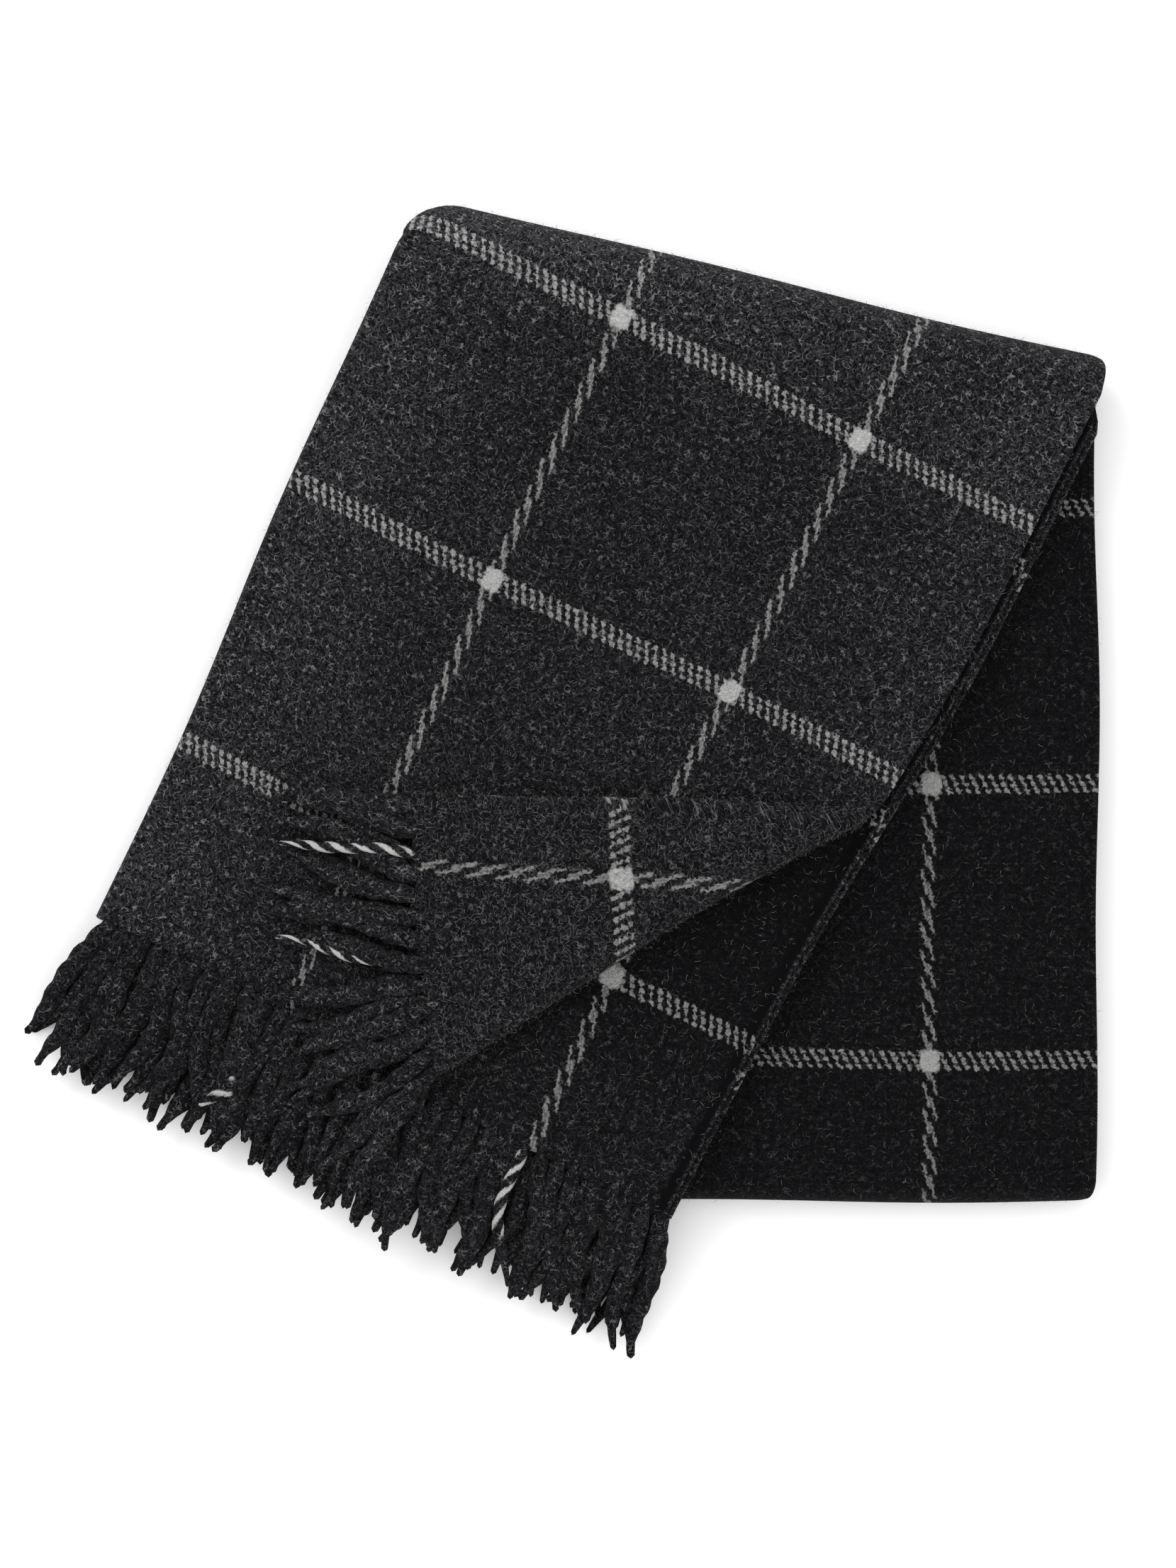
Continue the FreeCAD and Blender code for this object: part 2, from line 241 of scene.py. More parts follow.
def check_bands(graph, across, along):
    """Where the off-white yarn shows, nought to one. The thin line has two rows of leaning floats,
    half a step apart; the band has three rows of dots in slanting columns; the crossing is filled."""
    float_step, lean = 13.0, 3.2
    dot_step, row_step = 4.7, 3.25
    thin_off = across.wrapped(THIN_PITCH)
    thick_off = along.wrapped(THICK_PITCH)
    rows = []
    for side in (-1.0, 1.0):
        phase = (along / float_step + 0.25 * side).fract()
        middle = phase * lean + (side - 1.0) * lean / 2
        line = 1.0 - abs(thin_off - middle).rise(0.25, 1.1)
        ends = (0.5 - abs(phase - 0.5)).rise(0.0, 0.11)
        rows.append(line * ends)
    floats = rows[0].top(rows[1])
    column = ((across - 0.5 * thick_off) / dot_step).fract() - 0.5
    row = (thick_off / row_step + 1.5).fract() - 0.5
    reach = column * column * 9.5 + row * row * 3.4
    dots = (1.0 - reach).rise(0.0, 0.75) * (1.0 - abs(thick_off).rise(4.6, 5.0))
    wide, tall = thin_off * thin_off / 24.0, thick_off * thick_off / 31.0
    crossing = 1.0 - (wide * wide + tall * tall).rise(0.35, 1.5)
    return floats * 0.52, dots * 0.58, crossing * 0.92


wool = Graph("felted_wool")
weave = wool.add("ShaderNodeUVMap", {"uv_map": "weave"})
# the nap's level, read from each piece: the hairs' own height, plus painted highlight along folds and
# edges and painted shade where one leaf shades another
nap_and_painted_light = wool.add("ShaderNodeAttribute", {"attribute_name": "nap_and_painted_light"}, out=2)
colour, height = nap(wool, weave, nap_and_painted_light)
fuzz = wool.add("ShaderNodeTexNoise", {}, {"Vector": weave, "Scale": 520.0, "Detail": 2.0}, out=1)
shift = wool.vector("SCALE", wool.vector("SUBTRACT", fuzz, (0.5, 0.5, 0.5)), 0.0042)
split = wool.add("ShaderNodeSeparateXYZ", {}, {0: wool.vector("ADD", weave, shift)})
across = split * 1000.0
along = Socket(wool, split.link.node.outputs[1]) * 1000.0
floats, dots, crossing = check_bands(wool, across, along)
pale = floats.top(dots).top(crossing)
worn = wool.noise(weave, 640.0, 2.0, 0.7).rise(0.30, 0.66)
cover = pale * (0.46 + 0.54 * worn.top(crossing * 0.65)) * (0.60 + 0.46 * nap_and_painted_light)
colour = wool.mix(cover, colour, OFF_WHITE)
bump = wool.bump(0.9, height + pale * 0.3, Distance=0.0013)
tint = {"Sheen Weight": 0.03, "Sheen Tint": (0.9, 0.9, 0.92, 1.0)}
felted_wool = wool.finish(colour, 0.95, bump, **LOW_SHINE, **tint)

# ---- the way the cloth is folded ----
# One cloth, 1290 mm wide. Across its width it is folded in four: its selvedge quarters B and B' lie
# inside, A on top and A' under it. The strip is folded at the middle of the throw, and both halves are
# then turned over together on the skew, so each half has a lower stretch, a fold and an upper stretch.

CLOTH = 2.2
LEAF_PITCH = 2.5
DEPTHS = {"A": 1.1, "A'": 3.6, "B": 6.1, "B'": 8.6}  # of each leaf's middle, under the half's top
TIGHT_FOLD, WIDE_FOLD = 1.25, 3.75
HALF_STACK = 9.85
HALF_WIDTH = 160.5
OUTER_LEFT = 163.0
TUCKED_IN = {"B": 0.6, "B'": 1.4}  # how far the selvedges stand out past A where they are hidden
HALF_LENGTH = 204.5
UPPER_END = 392.0
SKEW = np.radians(13.3)
FOLD_HEIGHT = 19.85
SUPPORT, OUTER_TOP = 20.0, 39.7  # what the upper stretch lies on, and its own top
RUN = np.array([-np.sin(2 * SKEW), -np.cos(2 * SKEW)])
SIDEWAYS = np.array([np.cos(2 * SKEW), -np.sin(2 * SKEW)])
CREASE_POINT = np.array([71.844, -10.483])
CREASE_WAY = np.array([-0.856267, -0.516533])
CREASE_OUT = np.array([0.516533, -0.856267])
CORNER_REACH = 98.0
NARROWS = 0.09


def ease(x):
    """Nought below nought, one above one, and a smooth step between."""
    x = np.clip(x, 0.0, 1.0)
    return x * x * (3.0 - 2.0 * x)


def quarter_folds(counts):
    """Section across the strip, from the selvedge of B' round to the selvedge of B. Gives each
    column's place across, its depth under the strip's top, the woven distance and which turn back.
    Flats are straight runs; folds are half circles between them."""
    b_under, left, top, right, under, inner, b_over = counts
    turn = [np.linspace(0.0, np.pi, n + 1)[1:] for n in (left, right, inner)]
    share = [np.linspace(0.0, 1.0, n + 1)[1:] for n in (top, under, b_over)]
    near_selvedge = np.interp(share[2], [0.0, 0.62, 1.0], [0.0, 0.93, 1.0])
    first = np.interp(np.linspace(0.0, 1.0, b_under + 1), [0.0, 0.38, 1.0], [0.0, 0.07, 1.0])
    selvedge = HALF_WIDTH + TUCKED_IN["B'"]
    parts = [
        (selvedge - first * (selvedge + OUTER_LEFT), np.full(b_under + 1, DEPTHS["B'"])),
        around(-OUTER_LEFT, -WIDE_FOLD, DEPTHS["A"] + WIDE_FOLD, turn[0]),
        (top_columns(share[0], OUTER_LEFT), np.full(top, DEPTHS["A"])),
        around(HALF_WIDTH, TIGHT_FOLD, DEPTHS["A"] + TIGHT_FOLD, np.pi - turn[1]),
        (top_columns(1.0 - share[1], HALF_WIDTH), np.full(under, DEPTHS["A'"])),
        around(-HALF_WIDTH, -TIGHT_FOLD, DEPTHS["A'"] + TIGHT_FOLD, np.pi - turn[2]),
        (
            -HALF_WIDTH + near_selvedge * (2 * HALF_WIDTH + TUCKED_IN["B"]),
            np.full(b_over, DEPTHS["B"]),
        ),
    ]
    across, depth = (np.concatenate(values) for values in zip(*parts, strict=True))
    woven = np.concatenate([[0.0], np.cumsum(np.hypot(np.diff(across), np.diff(depth)))])
    # A, A' and the upper parts of the folds beside them can turn back; B and B' stay
    turns = (depth < 4.0) | ((depth < 4.84) & (across < 0))
    start = b_under + left
    middle = start + int(np.argmin(abs(across[start : start + top])))
    return across, depth, woven - woven[middle], turns


def around(edge, radius, middle, angle):
    """A fold's columns: a half circle out from an edge, its angle nought at the deep side."""
    return edge + radius * np.sin(angle), middle + abs(radius) * np.cos(angle)


def top_columns(share, left):
    """Columns of the two top quarters, twice as close on the side that is turned back."""
    return np.interp(share, [0.0, 0.33, 1.0], [-left, 0.0, HALF_WIDTH])


def round_off(plan, corner, first, second, radius):
    """Rounds a corner of the stack: the square next to it, seen along its two edges, is squeezed to
    a quarter disc, so points on the two edges stay and the corner comes in."""
    basis = np.linalg.inv(np.array([first, second]).T)
    away = (plan - np.array(corner)) @ basis.T
    near = np.clip((radius - away) / radius, 0.0, None)
    p, q = near[..., 0], near[..., 1]
    inside = (p > 0) & (q > 0)
    p2 = p * np.sqrt(np.clip(1.0 - np.minimum(q, 1.2) ** 2 / 2.0, 0.1, 1.0))
    q2 = q * np.sqrt(np.clip(1.0 - np.minimum(p, 1.2) ** 2 / 2.0, 0.1, 1.0))
    moved = radius - np.stack([p2, q2], -1) * radius
    moved = np.array(corner) + moved @ np.array([first, second])
    return np.where(inside[..., None], moved, plan)


# Corners of the stack: place, the ways of the two edges that leave it, and radius.
STACK_CORNERS = [
    ((-163.0, 263.0), (0.973, -0.230), (-0.20, -0.98), 26.0),
    ((169.0, 186.0), (-0.973, 0.230), (-0.15, -0.99), 11.0),
    ((167.0, -215.5), (-1.0, 0.0), (0.0, 1.0), 13.0),
]


def settle(points):
    """How the whole stack lies: corners rounded, edges a little uneven, and slow swells that grow
    with height and are shared by all leaves, so that none comes through another."""
    plan, z = points[..., :2], points[..., 2]
    for corner in STACK_CORNERS:
        plan = round_off(plan, *corner)
    x, y = plan[..., 0], plan[..., 1]
    dx = 0.9 * np.sin(y / 31.0 + 0.8) + 0.7 * np.sin(y / 67.0 + x / 90.0)
    dy = 0.8 * np.sin(x / 37.0 + 2.1) + 0.6 * np.sin(x / 83.0 - y / 70.0 + 1.0)
    swell = np.sin(x / 43.0 + 0.7 * np.sin(y / 61.0)) + np.sin(y / 38.0 + x / 110.0 + 1.7)
    lifted = z + 0.55 * swell * np.clip(z / 40.0, 0.0, 1.1)
    return np.stack([x + dx, y + dy, lifted], -1)


def drape(x):
    """How far a leaf has come down beside the lower half: a soft ramp from its edge to the board."""
    edge, run, fall, soft = -165.5, 45.0, 20.0, 9.0
    beyond = edge - x
    start = soft * np.logaddexp(0.0, beyond / soft) - soft * np.logaddexp(0.0, edge / soft)
    past = soft * np.logaddexp(0.0, (beyond - run) / soft)
    return (start - past) * (fall / run)


def upper_place(across, along, depth, group_top, turns):
    """Point of an upper stretch: strip coordinates laid on the slant, narrowing a little towards the
    end, let down over the side, and beyond the crease rolled up and back on to itself."""
    narrow = 1.0 - NARROWS * ease(along / UPPER_END)
    plan = np.array([0.0, HALF_LENGTH]) + (across * narrow)[..., None] * SIDEWAYS
    plan = plan + along[..., None] * RUN
    z = group_top - depth
    beyond = (plan - CREASE_POINT) @ CREASE_OUT
    way = (plan - CREASE_POINT) @ CREASE_WAY
    plump = 1.1 + 2.7 * np.exp(-(((way + 6.0) / 70.0) ** 2))
    fuller = plump * (0.75 + 0.1 * depth)
    radius = 2.3 + (depth - DEPTHS["A"]) + fuller
    angle = np.clip(beyond / radius, 0.0, np.pi)
    laid = np.clip(beyond - np.pi * radius, 0.0, None)
    back = laid * (1.0 + np.pi * radius / CORNER_REACH)
    line = CREASE_POINT + way[..., None] * CREASE_WAY
    offset = np.where(beyond < 0.0, beyond, radius * np.sin(angle) - back)
    rolled = line + offset[..., None] * CREASE_OUT
    sink = 2.0 * fuller * (1.0 - np.exp(-((laid / 55.0) ** 2)))
    swell = 0.9 * ease(laid / 25.0) * (1.0 + np.sin(way / 29.0 + laid / 21.0))
    climbed = z + radius * (1.0 - np.cos(angle)) - sink + swell
    turned = turns & (beyond > 0.0)
    plan = np.where(turned[..., None], rolled, plan)
    z = np.where(turned, climbed, z)
    low = np.minimum(drape(plan[..., 0]), SUPPORT) * np.where(turned, 0.9, 1.0)
    return np.concatenate([plan, (z - low)[..., None]], -1)


def fold_place(across, angle, radius):
    """Point of the top fold: a half turn about the skew axis, from the upper stretch to the lower."""
    x = across + radius * np.sin(angle) * np.sin(SKEW)
    y = HALF_LENGTH - across * np.tan(SKEW) + radius * np.sin(angle) * np.cos(SKEW)
    return np.stack([x, y, FOLD_HEIGHT + radius * np.cos(angle)], -1)


def sheet_faces(rows, columns):
    """Quads of a grid of points, row by row, turned so that they face out of the fold."""
    r, c = np.meshgrid(np.arange(rows - 1), np.arange(columns - 1), indexing="ij")
    base = (r * columns + c).ravel()
    return np.stack([base + columns, base + columns + 1, base + 1, base], -1).tolist()


def store(mesh, name, values):
    """A number for each of a mesh's points, for its material to read."""
    layer = mesh.attributes.new(name, "FLOAT", "POINT")
    layer.data.foreach_set("value", values.ravel().astype(np.float32))


def cloth_piece(name, points, weave_at, nap_and_painted_light_at, body, nodes):
    """One stretch of cloth: a grid of points with the weave's own coordinates, given its
    thickness."""
    faces = sheet_faces(*points.shape[:2])
    piece = make_mesh(name, settle(points).reshape(-1, 3), faces, felted_wool)
    mesh = piece.data
    layer = mesh.uv_layers.new(name="weave")
    loops = np.empty(len(mesh.loops), np.int32)
    mesh.loops.foreach_get("vertex_index", loops)
    layer.data.foreach_set("uv", (weave_at.reshape(-1, 2)[loops] / 1000.0).ravel())
    store(mesh, "nap_and_painted_light", nap_and_painted_light_at)
    wall = piece.modifiers.new("cloth", "SOLIDIFY")
    wall.thickness, wall.offset = CLOTH / 1000.0, 0.0
    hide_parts(*nodes)
    if body:
        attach(piece, body)
    return piece


# Woven places of the thin lines across the cloth, with their numbers; where the first band lies down
# the slant; and at the middle fold, where the count along stands, how far the lines have moved across,
# how much cloth goes round it, and how much closer the bands lie after it.
THIN_LIES = [(-57.0, -1), (70.3, 0), (195.0, 1), (329.7, 2), (734.8, 5)]
BAND_LIES = 165.5
MIDDLE_BAND = -450.0
MIDDLE_DRIFT = 12.4
MIDDLE_TURN = 29.4
CHECK_STRETCH = THICK_PITCH / 130.3
# B and B' end a little later than A, stick out past it at the right, and, having gone round the top
# fold on a smaller radius, have their bands lower down.
LATE_END = 7.0
STICKS_OUT = (5.9, 8.3)


def weave_slip(woven):
    """How much lower the bands of B and B' lie than those of A."""
    return 20.0 * ease((woven - 480.0) / 120.0) + 26.0 * ease((-330.0 - woven) / 150.0)


def thin_count(woven):
    """Millimetres of check across the cloth at a woven distance from the middle of A."""
    places, numbers = np.array(THIN_LIES).T
    count = np.interp(woven, places, numbers) * THIN_PITCH
    beyond = woven - np.clip(woven, places[0], places[-1])
    return count + beyond


# ---- outer half, upper stretch: what shows on top ----
# The outer half of the throw from its end, under the fringe, up the slant and over the top fold. Its
# two top quarters are turned back at the right. The inner quarters B and B' stick out a little past A.

across_at, depth_at, woven_at, turns_at = quarter_folds((28, 7, 106, 6, 106, 5, 46))
run_steps = np.concatenate([np.linspace(UPPER_END, 145.0, 108), np.linspace(145.0, 0.0, 31)[1:]])
share = run_steps / UPPER_END
in_b, in_b_under = ease((woven_at - 480.0) / 120.0), ease((-340.0 - woven_at) / 120.0)
later = LATE_END * (in_b + in_b_under)
slip_at = weave_slip(woven_at)
axis_along = -across_at * np.tan(SKEW)
ragged = 1.3 * np.sin(woven_at / 2.7) * np.sin(woven_at / 14.0)
along_grid = axis_along + (UPPER_END + later + ragged - axis_along) * share[:, None]
grown = ease((along_grid - axis_along - 1.0) / 15.0) * ease(across_at / 60.0 - 1.0)
across_grid = across_at + grown * (STICKS_OUT[0] * in_b + STICKS_OUT[1] * in_b_under)
depth_grid = np.broadcast_to(depth_at, along_grid.shape)
turns_grid = np.broadcast_to(turns_at, along_grid.shape)
upper = upper_place(across_grid, along_grid, depth_grid, OUTER_TOP, turns_grid)
turn_steps = np.linspace(0.0, np.pi, 17)[1:, None]
ring = FOLD_HEIGHT - depth_at
arc = fold_place(across_at[None], turn_steps, ring[None])
points = np.concatenate([upper, arc])

# the weave: B's bands start lower than A's and come closer to them down the slant
count_across = thin_count(woven_at)
closing = 12.0 * in_b * ease((along_grid - 200.0) / 80.0)
passed = axis_along - BAND_LIES - slip_at
upper_weave = np.broadcast_arrays(count_across, along_grid - BAND_LIES - slip_at + closing)
turned_by = ring * turn_steps
arc_weave = [count_across - turned_by * np.sin(SKEW), passed - turned_by * np.cos(SKEW)]
weave_at = np.concatenate([np.stack(upper_weave, -1), np.stack(arc_weave, -1)])

# the nap's level, with painted highlight along the top fold, the left side and A's right edge, flatter
# on B, painted shade where A's edge shades the selvedges and a painted highlight on their rims
in_a = woven_at < 162.0
top_fold_highlight = np.concatenate([ease(1.0 - along_grid / 60.0), np.ones(arc.shape[:2])])
low_end = np.concatenate([ease((along_grid - 270.0) / 110.0), np.zeros(arc.shape[:2])])
nap_and_painted_light_at = 0.84 + in_b * (0.28 * low_end - 0.50)
# painted highlight: lighter along the top fold, down the left side and towards A's right edge
nap_and_painted_light_at = nap_and_painted_light_at + 0.52 * top_fold_highlight * (0.45 + 0.55 * ease(0.6 - across_at / 200.0))
nap_and_painted_light_at = nap_and_painted_light_at + 0.33 * ease((-across_at - 60.0) / 100.0)
nap_and_painted_light_at = nap_and_painted_light_at + 0.10 * ease(across_at / 60.0 - 1.3) * in_a - 0.05 * (turns_at & ~in_a)
past = np.concatenate([across_grid, np.broadcast_to(across_at, arc.shape[:2])])
past = past - 2.6 * in_b_under
# painted shade on the selvedges beside A's edge, as cast by it, and painted highlight on their rims
rim, shaded = ease((past - 164.3) / 1.6), ease((past - 158.0) / 4.0)
nap_and_painted_light_at = nap_and_painted_light_at + (0.85 * rim + 0.1 - nap_and_painted_light_at) * shaded * (in_b + in_b_under)

outer_nodes = [f"upper_leaf_{n}" for n in (5, 6, 7, 8)] + [f"top_fold_{n}" for n in (1, 2, 3, 4)]
outer_nodes += ["upper_right_fold_2", "upper_inner_left_fold_2", "upper_outer_left_fold_2"]
outer_nodes += ["corner_leaf_1", "corner_leaf_2", "corner_edge_fold"]
outer_nodes += ["crease_fold_1", "crease_fold_2"]
outer_upper = cloth_piece(
    "outer_half_upper",
    points,
    weave_at,
    nap_and_painted_light_at,
    body=None,
    nodes=outer_nodes,
)
# the cloth goes over to the turned corner's body up the crease's roll
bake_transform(outer_upper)

# ---- outer half, lower stretch ----
# Goes on from the bottom of the top fold, flat on the board, to the fold at the middle of the throw.

lower_columns = quarter_folds((24, 6, 34, 5, 34, 4, 24))
across_at, depth_at, woven_at, _ = lower_columns
count_across = thin_count(woven_at)
ring = FOLD_HEIGHT - depth_at
top_of = HALF_LENGTH - across_at * np.tan(SKEW)
share = np.linspace(0.0, 1.0, 46)[:, None]
y = top_of + (-HALF_LENGTH - top_of) * share
points = np.stack(np.broadcast_arrays(across_at, y, depth_at), -1)
start = -across_at * np.tan(SKEW) - ring * np.pi * np.cos(SKEW) - BAND_LIES - weave_slip(woven_at)
drift = ring * np.pi * np.sin(SKEW)
weave_at = [
    count_across - drift * (1.0 - share) - MIDDLE_DRIFT * share,
    start + (MIDDLE_BAND - THICK_PITCH - start) * share,
]
cloth_piece(
    "outer_half_lower",
    points,
    np.stack(weave_at, -1),
    np.full(y.shape, 0.44),
    body="throw",
    nodes=[f"lower_leaf_{n}" for n in (1, 2, 3, 4)]
    + ["lower_right_fold_1", "lower_inner_left_fold_1", "lower_outer_left_fold_1"],
)

# ---- inner half, lower stretch: what shows at the right ----
# Round the middle fold and back up over the outer half. Its quarter A is the darker cloth at the right.

across_at, depth_at, woven_at, _ = quarter_folds((24, 6, 66, 6, 34, 4, 24))
count_across = thin_count(woven_at) - MIDDLE_DRIFT
bottom_turn = np.linspace(0.0, np.pi, 13)[:, None]
ring = HALF_STACK - depth_at
arc_y = -HALF_LENGTH - ring * np.sin(bottom_turn)
arc_z = HALF_STACK - ring * np.cos(bottom_turn)
arc = np.stack(np.broadcast_arrays(across_at, arc_y, arc_z), -1)
share = np.linspace(0.0, 1.0, 91)[1:, None]
top_of = HALF_LENGTH - across_at * np.tan(SKEW)
y = -HALF_LENGTH + (top_of + HALF_LENGTH) * share
flat_part = np.stack(np.broadcast_arrays(across_at, y, 2 * HALF_STACK - depth_at), -1)
points = np.concatenate([arc, flat_part])
arc_along = MIDDLE_BAND - MIDDLE_TURN * bottom_turn / np.pi + np.zeros(across_at.shape)
flat_along = MIDDLE_BAND - MIDDLE_TURN - (y + HALF_LENGTH) * CHECK_STRETCH
weave_at = np.broadcast_arrays(count_across, np.concatenate([arc_along, flat_along]))
inner_lower = cloth_piece(
    "inner_half_lower",
    points,
    np.stack(weave_at, -1),
    np.full(points.shape[:2], 0.43),
    body="throw",
    nodes=[f"lower_leaf_{n}" for n in (5, 6, 7, 8)]
    + [f"bottom_fold_{n}" for n in (1, 2, 3, 4)]
    + ["lower_right_fold_2", "lower_inner_left_fold_2", "lower_outer_left_fold_2"],
)

# ---- inner half, upper stretch ----
# Over the inside of the top fold and down the slant, under the outer half, to its own fringe.

SLID_OUT = 5.0
across_at, depth_at, woven_at, _ = lower_columns
count_across = thin_count(woven_at) - MIDDLE_DRIFT
ring = SUPPORT - FOLD_HEIGHT + depth_at
turn_steps = np.linspace(np.pi, 0.0, 9)[:, None]
arc = fold_place(across_at[None], turn_steps, ring[None])
axis_along = -across_at * np.tan(SKEW)
share = np.linspace(0.0, 1.0, 61)[1:, None]
along_grid = axis_along + (UPPER_END - axis_along) * share
slid = across_at + SLID_OUT * ease((along_grid + 40.0) / 170.0)
depth_grid = np.broadcast_to(-depth_at, along_grid.shape)
none_turned = np.zeros(along_grid.shape, bool)
upper = upper_place(slid, along_grid, depth_grid, SUPPORT, none_turned)
points = np.concatenate([arc, upper])
passed = MIDDLE_BAND - MIDDLE_TURN - (2 * HALF_LENGTH + axis_along) * CHECK_STRETCH
arc_along = passed - ring * (np.pi - turn_steps)
woven_along = np.concatenate([arc_along, arc_along[-1] - (along_grid - axis_along)])
cloth_piece(
    "inner_half_upper",
    points,
    np.stack(np.broadcast_arrays(count_across, woven_along), -1),
    np.full(points.shape[:2], 0.6),
    body="throw",
    nodes=[f"upper_leaf_{n}" for n in (1, 2, 3, 4)]
    + [f"top_fold_{n}" for n in (5, 6, 7, 8)]
    + ["upper_right_fold_1", "upper_inner_left_fold_1", "upper_outer_left_fold_1"],
)

# ---- fringe ----
# The warp ends, twisted in twos into soft cords and felted, one row to each leaf. Where a thin line of
# the check runs out into the fringe, off-white yarn shows along the twist.

TASSEL_STEP = 10.0
TASSEL_LENGTH = 68.0
TUCKED = 9.0  # how far a tassel's root is hidden in the cloth
TWIST_LENGTH = 23.0
chance = np.random.default_rng(20)

cord_wool = Graph("twisted_fringe")
place = cord_wool.add("ShaderNodeTexCoord", out=3)
# the cords' nap level, with painted shade at their sides and undersides
cord_nap_and_shade = cord_wool.add("ShaderNodeAttribute", {"attribute_name": "nap_and_painted_light"}, out=2)
cord_colour, cord_height = nap(cord_wool, place, cord_nap_and_shade)
pale_ply = cord_wool.add("ShaderNodeAttribute", {"attribute_name": "pale_ply"}, out=2)
rough_edge = cord_wool.noise(place, 700.0, 2.0, 0.6)
cover = (pale_ply + (rough_edge - 0.5) * 0.7).rise(0.32, 0.72)
cord_colour = cord_wool.mix(cover * 0.9, cord_colour, (0.44, 0.44, 0.43, 1.0))
bump = cord_wool.bump(0.8, cord_height, Distance=0.0012)
tint = {"Sheen Weight": 0.025}
twisted_fringe = cord_wool.finish(cord_colour, 0.95, bump, **LOW_SHINE, **tint)


def cord_lines(roots, ways, layer, steps):
    """Centre lines: each leaves its root and bends slowly to one side, in step with its neighbours,
    while its height keeps to the ground below it. Gives the lengths too."""
    count = len(roots)
    t = np.linspace(0.0, 1.0, steps)
    length = TASSEL_LENGTH + TUCKED + chance.normal(0.0, 3.5, count)
    drift = np.convolve(chance.normal(0.0, 1.0, count + 6), np.ones(4) / 2.0, "same")[3 : count + 3]
    bend = 0.17 * drift + chance.normal(0.0, 0.16, count)
    heading = np.arctan2(ways[:, 1], ways[:, 0])
    wave = chance.uniform(0.10, 0.30, count)[:, None]
    phase = chance.uniform(0, 6, count)[:, None]
    angle = heading[:, None] + bend[:, None] * t + wave * np.sin(t * 6.5 + phase) * ease(t * 3.0)
    step = length[:, None] / (steps - 1)
    walk = np.stack([np.cos(angle), np.sin(angle)], -1) * step[..., None]
    plan = roots[:, None, :2] + np.cumsum(walk, 1) - walk[:, :1]
    plan = plan - TUCKED * np.stack([np.cos(heading), np.sin(heading)], -1)[:, None]
    fall = layer + ground(plan[..., 0], plan[..., 1])
    start = 1.0 - ease((t * (TASSEL_LENGTH + TUCKED) - TUCKED) / 20.0)
    z = fall + (roots[:, None, 2] - fall[:, :1]) * start
    z = z + 0.9 * (1.0 + np.sin(t * 6.0 + chance.uniform(0, 6, count)[:, None])) * ease(t * 2.0)
    return np.concatenate([plan, z[..., None]], -1), length


def cord_faces(count, steps, sides):
    """Faces of so many tubes, each a grid of rings, closed by a pole at either end."""
    k, m = np.meshgrid(np.arange(steps - 1), np.arange(sides), indexing="ij")
    here, ahead = k * sides + m, k * sides + (m + 1) % sides
    quads = np.stack([here, ahead, ahead + sides, here + sides], -1).reshape(-1, 4)
    first, last, tail = steps * sides, steps * sides + 1, (steps - 1) * sides
    caps = [[first, (i + 1) % sides, i] for i in range(sides)]
    caps += [[last, tail + i, tail + (i + 1) % sides] for i in range(sides)]
    offsets = (np.arange(count) * (steps * sides + 2))[:, None, None]
    faces = (quads + offsets).reshape(-1, 4).tolist()
    return faces + (np.array(caps) + offsets).reshape(-1, 3).tolist()


